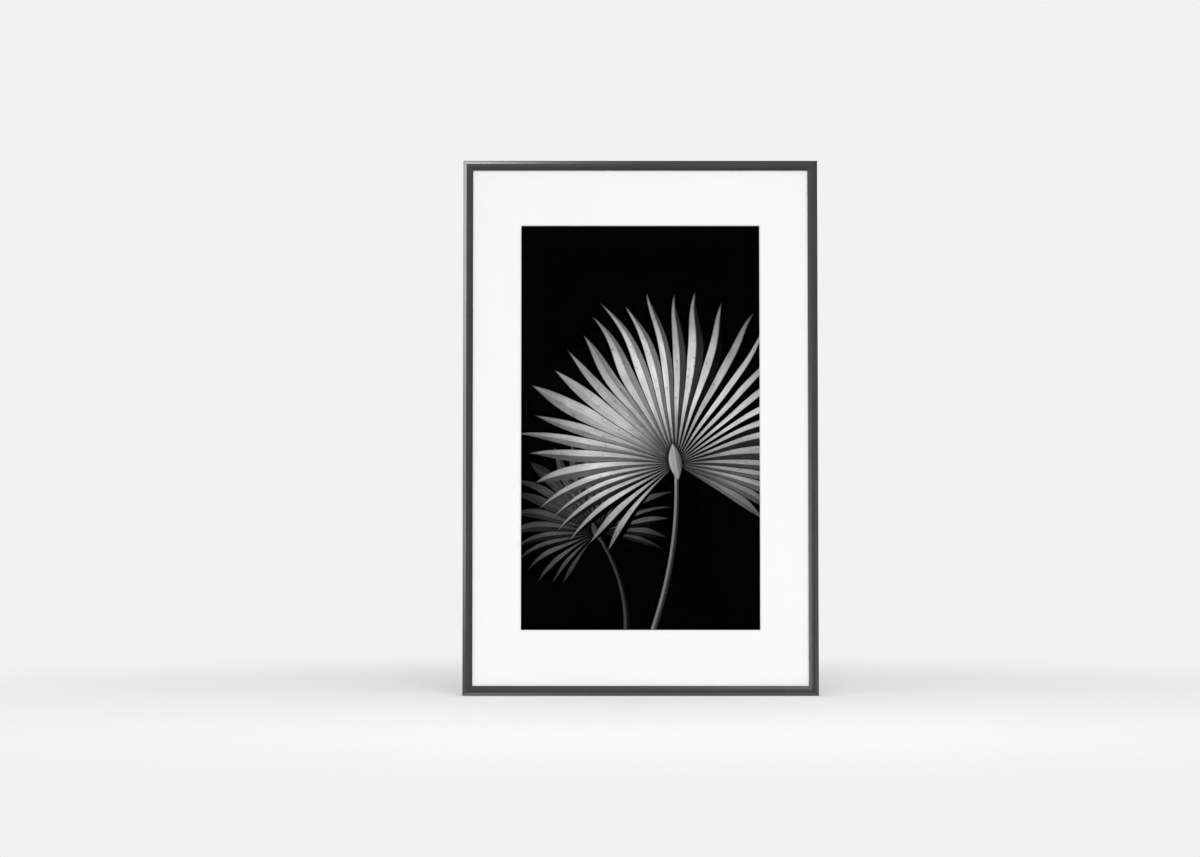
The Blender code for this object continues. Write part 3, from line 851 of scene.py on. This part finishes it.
def grub_screw(name, radius, length):
    """A slotted threaded pin that stands on its tip along Z."""
    root = radius - THREAD_DEPTH
    piece = begin(name, bpy.ops.mesh.primitive_circle_add, vertices=4, radius=root)
    pick(piece, "verts", lambda vert: vert.co.x < root / 2)
    bpy.ops.mesh.delete(type="VERT")
    bpy.ops.mesh.select_all(action="SELECT")
    bpy.ops.transform.translate(value=(0, 0, -PITCH))
    for step_out, step_up in THREAD:
        bpy.ops.mesh.extrude_region_move(
            TRANSFORM_OT_translate={"value": (step_out, 0, step_up * PITCH)}
        )
    bpy.ops.object.mode_set(mode="OBJECT")
    turns = math.ceil(length / PITCH) + 2
    apply(
        piece,
        "thread",
        "SCREW",
        screw_offset=PITCH,
        iterations=turns,
        steps=THREAD_STEPS,
        render_steps=THREAD_STEPS,
        use_merge_vertices=True,
        merge_threshold=WELD,
    )
    bpy.ops.object.mode_set(mode="EDIT")
    bpy.ops.mesh.select_all(action="SELECT")
    bpy.ops.mesh.remove_doubles(threshold=WELD)
    saw((0, 0, 0), (0, 0, -1), keep_beyond=False, fill=True)
    saw((0, 0, length), (0, 0, 1), keep_beyond=False, fill=True)
    close(piece, 40)
    cutter = begin(name + "_slot", bpy.ops.mesh.primitive_cube_add, size=1)
    bpy.ops.mesh.select_all(action="SELECT")
    bpy.ops.transform.resize(value=(4 * radius, SCREW_SLOT[0], 2 * SCREW_SLOT[1]))
    bpy.ops.transform.translate(value=(0, 0, length))
    bpy.ops.object.mode_set(mode="OBJECT")
    bpy.ops.object.select_all(action="DESELECT")
    apply(piece, "slot", "BOOLEAN", operation="DIFFERENCE", object=cutter, solver="EXACT")
    bpy.data.objects.remove(cutter)
    return piece


def copied(piece, name):
    """A copy of a piece with its own mesh."""
    twin = piece.copy()
    twin.data = piece.data.copy()
    twin.name = twin.data.name = name
    bpy.context.scene.collection.objects.link(twin)
    return twin


low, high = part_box("corner_screw_1")
pattern = grub_screw("grub_screw", (high.x - low.x) / 2, high.y - low.y)
for number in SCREW_NUMBERS:
    node_name = f"corner_screw_{number}"
    low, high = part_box(node_name)
    piece = copied(pattern, f"grub_screw_{number}")
    bpy.ops.object.select_all(action="DESELECT")
    piece.select_set(True)
    bpy.context.view_layer.objects.active = piece
    piece.rotation_euler = (-math.pi / 2, TURN_BY_SCREW * number, 0)
    piece.location = ((low.x + high.x) / 2, low.y, (low.z + high.z) / 2)
    bpy.ops.object.transform_apply(location=True, rotation=True, scale=True)
    fit(piece, zinc, "fixing_zinc", node_name)
bpy.data.objects.remove(pattern)


# Hanger: a strip of zinc-plated steel, folded to an angle and stamped with saw teeth along its
# free edge, so that it hangs level from one nail. It is riveted under the top rail.
HANGER_LOW, HANGER_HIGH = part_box("hanger")
HANGER_SHEET = 1.0 * MM
HANGER_FOLD = 1.2 * MM
HANGER_FOLD_STEPS = 6
HANGER_ARRIS = 0.12 * MM
TEETH = 13
TOOTH_PITCH = 4.0 * MM
TOOTH_DEPTH = 1.5 * MM
TOOTH_FLAT = 0.6 * MM

piece = standing_plane("toothed_hanger", HANGER_LOW, HANGER_HIGH)
half_notch = (TOOTH_PITCH - TOOTH_FLAT) / 2
apexes = [(index - (TEETH - 1) / 2) * TOOTH_PITCH for index in range(TEETH)]
for apex in apexes:
    for cut_x in (apex - half_notch, apex, apex + half_notch):
        saw((cut_x, 0, 0), (1, 0, 0))
pick(
    piece,
    "verts",
    lambda vert: vert.co.z < HANGER_LOW.z + TOOTH_DEPTH
    and any(abs(vert.co.x - apex) < TOOTH_FLAT / 4 for apex in apexes),
)
bpy.ops.transform.translate(value=(0, 0, TOOTH_DEPTH))


def at_the_fold(edge):
    return all(
        vert.co.z > HANGER_HIGH.z - WELD and vert.co.y > HANGER_HIGH.y - WELD
        for vert in edge.verts
    )


pick(piece, "edges", at_the_fold)
bpy.ops.mesh.extrude_region_move(
    TRANSFORM_OT_translate={"value": (0, HANGER_LOW.y - HANGER_HIGH.y, 0)}
)
pick(piece, "edges", at_the_fold)
bpy.ops.mesh.bevel(offset=HANGER_FOLD, segments=HANGER_FOLD_STEPS, affect="EDGES")
bpy.ops.mesh.select_all(action="SELECT")
bpy.ops.mesh.normals_make_consistent(inside=False)
bpy.ops.object.mode_set(mode="OBJECT")
outside = max(piece.data.polygons, key=lambda face: face.center.z)
apply(
    piece,
    "wall",
    "SOLIDIFY",
    thickness=HANGER_SHEET,
    offset=-1 if outside.normal.z > 0 else 1,
    use_even_offset=True,
)
apply(piece, "arris", "BEVEL", width=HANGER_ARRIS, segments=2, angle_limit=ARRIS_FROM)
bpy.ops.object.mode_set(mode="EDIT")
close(piece)
fit(piece, zinc, "fixing_zinc", "hanger")


# Rivets: two blind rivets of plated steel. Each domed head lies under the hanger with the broken
# stub of its mandrel in the middle, and the tail is drawn up inside the rail's channel.

# Radii and heights are shares of the head's radius: the tail's are counted down from its end, and
# the dome's and the stub's up from the foot.
RIVET_TAIL = ((0, 0), (0.72, 0), (0.90, 0.15), (0.92, 0.50))
RIVET_SHANK = 0.62
DOME_RISE = 0.46
DOME_STEPS = 7
DOME_SPAN = math.radians(66)
RIVET_STUB = ((0.36, 0.02), (0.34, 0.20), (0.30, 0.20), (0.28, 0.06), (0, 0.04))
TURNED_STEPS = 32


def blind_rivet(name, low, high):
    """A turned rivet that hangs head down in the box of its node."""
    head = (high.x - low.x) / 2
    length = high.z - low.z
    upper = (*RIVET_TAIL, (RIVET_SHANK, RIVET_SHANK))
    lower = [(RIVET_SHANK, DOME_RISE)]
    for step in range(DOME_STEPS):
        angle = step / (DOME_STEPS - 1) * DOME_SPAN
        lower.append((math.cos(angle), DOME_RISE * (1 - math.sin(angle))))
    lower += RIVET_STUB
    profile = [(radius * head, length - drop * head) for radius, drop in upper]
    profile += [(radius * head, rise * head) for radius, rise in lower]
    piece = begin(name, bpy.ops.mesh.primitive_circle_add, vertices=4, radius=head)
    pick(piece, "verts", lambda vert: vert.co.x < head / 2)
    bpy.ops.mesh.delete(type="VERT")
    bpy.ops.mesh.select_all(action="SELECT")
    bpy.ops.transform.translate(value=(profile[0][0] - head, 0, profile[0][1]))
    for (radius, height), (next_radius, next_height) in zip(profile, profile[1:]):
        bpy.ops.mesh.extrude_region_move(
            TRANSFORM_OT_translate={"value": (next_radius - radius, 0, next_height - height)}
        )
    bpy.ops.object.mode_set(mode="OBJECT")
    apply(
        piece,
        "turned",
        "SCREW",
        steps=TURNED_STEPS,
        render_steps=TURNED_STEPS,
        use_merge_vertices=True,
        merge_threshold=WELD,
    )
    bpy.ops.object.mode_set(mode="EDIT")
    bpy.ops.mesh.select_all(action="SELECT")
    bpy.ops.mesh.remove_doubles(threshold=WELD)
    close(piece, 35)
    carry(piece, ((low.x + high.x) / 2, (low.y + high.y) / 2, low.z), 0)
    return piece


for number in (1, 2):
    low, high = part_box(f"hanger_rivet_{number}")
    piece = blind_rivet(f"blind_rivet_{number}", low, high)
    fit(piece, zinc, "fixing_zinc", f"hanger_rivet_{number}")


# Floor: a plain pale surface that the frame stands on. It is lit evenly, and fades out at some
# distance so that no horizon stands behind the frame.
FLOOR_RADIUS = 1.4
FLOOR_SOLID = 0.35
FLOOR_PALE = (0.93, 0.93, 0.93, 1)
disc = {"vertices": 96, "radius": FLOOR_RADIUS, "fill_type": "NGON"}
piece = begin("floor", bpy.ops.mesh.primitive_circle_add, **disc)
bpy.ops.object.mode_set(mode="OBJECT")
pale_floor, tree, place = material("pale_floor", Base_Color=FLOOR_PALE, Roughness=0.8)
distance = node(tree, "VectorMath", "Value", {"operation": "LENGTH"}, Vector=place)
finish(pale_floor, Alpha=ease(distance, FLOOR_RADIUS, FLOOR_SOLID))
piece.data.materials.append(pale_floor)
piece.visible_glossy = False


# Light: a pale room, a little brighter on the left and darker below, with a broad soft lamp near
# the camera for the paper and one over the floor. Panels that shine on the rails alone show up
# their bevels, most at the upper left and the lower right.
ROOM_SEEN = 0.885
ROOM_MIRRORED = 0.80
ROOM_LIGHT = 0.57
ROOM_TO_THE_LEFT = 0.10
ROOM_BELOW = 0.35
world = bpy.data.worlds.new("pale_room")
bpy.context.scene.world = world
world.cycles.sampling_method = "NONE"
world.use_nodes = True
tree = world.node_tree
tree.nodes.clear()
seen = node(tree, "Background", Color=(1, 1, 1, 1), Strength=ROOM_SEEN)
x, _, z = parts(node(tree, "TexCoord", "Generated"))
around = 1 - x * ROOM_TO_THE_LEFT + worked(tree, "MINIMUM", z, 0) * ROOM_BELOW
soft = node(tree, "LightPath", "Is Diffuse Ray")
lit = node(
    tree,
    "Background",
    Color=(1, 1, 1, 1),
    Strength=around * (ROOM_MIRRORED - soft * (ROOM_MIRRORED - ROOM_LIGHT)),
)
straight = node(tree, "LightPath", "Is Camera Ray")
mixed = tree.nodes.new("ShaderNodeMixShader")
tree.links.new(straight.socket, mixed.inputs[0])
tree.links.new(lit.socket, mixed.inputs[1])
tree.links.new(seen.socket, mixed.inputs[2])
end = tree.nodes.new("ShaderNodeOutputWorld")
tree.links.new(mixed.outputs[0], end.inputs["Surface"])


def panel(name, at, towards, size, brightness, *lights):
    """A soft rectangular lamp that faces a point, out of the camera's sight. It lights the named
    pieces alone, or all of them where none is named."""
    lamp = bpy.data.lights.new(name, "AREA")
    lamp.shape = "RECTANGLE"
    lamp.size, lamp.size_y = size
    lamp.energy = brightness * math.pi * size[0] * size[1]
    made = bpy.data.objects.new(name, lamp)
    bpy.context.scene.collection.objects.link(made)
    made.location = at
    made.rotation_euler = (Vector(towards) - Vector(at)).to_track_quat("-Z", "Y").to_euler()
    made.visible_camera = False
    if lights:
        lit_alone = bpy.data.collections.new(name + "_lights")
        for lit_name in lights:
            lit_alone.objects.link(bpy.data.objects[lit_name])
        made.light_linking.receiver_collection = lit_alone
    return made


panel("paper_lamp", (0.2, -3.2, 0.95), (0, 0, MIDDLE_Z), (1.8, 1.8), 7.95).visible_glossy = False
panel("floor_lamp", (0, -0.5, 1.9), (0, -0.5, 0), (1.8, 1.8), 0.8, "floor")
for name, side, at, towards, size, brightness in (
    ("top_bevel", "top", (-0.37, -0.22, 1.20), (-0.25, 0, HEIGHT), (0.32, 0.30), 14),
    ("left_bevel", "left", (-0.72, -0.22, 0.78), (-WIDTH / 2, 0, 0.62), (0.30, 0.50), 7.5),
    ("left_bevel_low", "left", (-0.72, -0.22, 0.34), (-WIDTH / 2, 0, 0.34), (0.30, 0.44), 3.5),
    ("right_lip", "right", (-1.50, -1.60, 0.00), (WIDTH / 2, 0, 0.10), (0.60, 0.60), 5.4),
    ("right_bevel", "right", (0.72, -0.22, 0.10), (WIDTH / 2, 0, 0.15), (0.30, 0.50), 0.5),
    ("bottom_lip", "bottom", (0.60, -1.30, 1.35), (WIDTH / 2, 0, 0), (0.60, 0.60), 3.8),
    ("bottom_bevel", "bottom", (0.05, -0.33, -0.90), (0, 0, 0), (1.00, 0.50), 0.9),
    ("bottom_bevel_left", "bottom", (-0.30, -0.15, -0.40), (-0.25, 0, 0), (0.26, 0.26), 1.2),
):
    panel(name, at, towards, size, brightness, "frame_" + side)


# Camera: straight in front and as far away as the photograph's perspective shows. It looks up a
# little, because the upright frame's sides have to draw in towards the top as the leaning one's
# do. Its places are pixels of a picture 1200 wide.
PICTURE = (1200, 857)
FOCAL_PIXELS = 2651
SENSOR = 36.0
CAMERA_DISTANCE = 3.759
CAMERA_TILT = math.radians(2.4)
FACE_CENTRE_PIXEL = (640.5, 427.1)
ahead = Vector((0, math.cos(CAMERA_TILT), math.sin(CAMERA_TILT)))
upward = Vector((0, -math.sin(CAMERA_TILT), math.cos(CAMERA_TILT)))
metres_per_pixel = CAMERA_DISTANCE / FOCAL_PIXELS
right_of_centre = (FACE_CENTRE_PIXEL[0] - PICTURE[0] / 2) * metres_per_pixel
above_centre = (PICTURE[1] / 2 - FACE_CENTRE_PIXEL[1]) * metres_per_pixel
lens = bpy.data.cameras.new("camera")
lens.sensor_width = SENSOR
lens.lens = FOCAL_PIXELS * SENSOR / PICTURE[0]
camera = bpy.data.objects.new("camera", lens)
bpy.context.scene.collection.objects.link(camera)
camera.location = (
    Vector((0, FRONT, MIDDLE_Z))
    - ahead * CAMERA_DISTANCE
    - Vector((right_of_centre, 0, 0))
    - upward * above_centre
)
camera.rotation_euler = (math.pi / 2 + CAMERA_TILT, 0, 0)
bpy.context.scene.camera = camera
bpy.context.scene.view_settings.view_transform = "Standard"
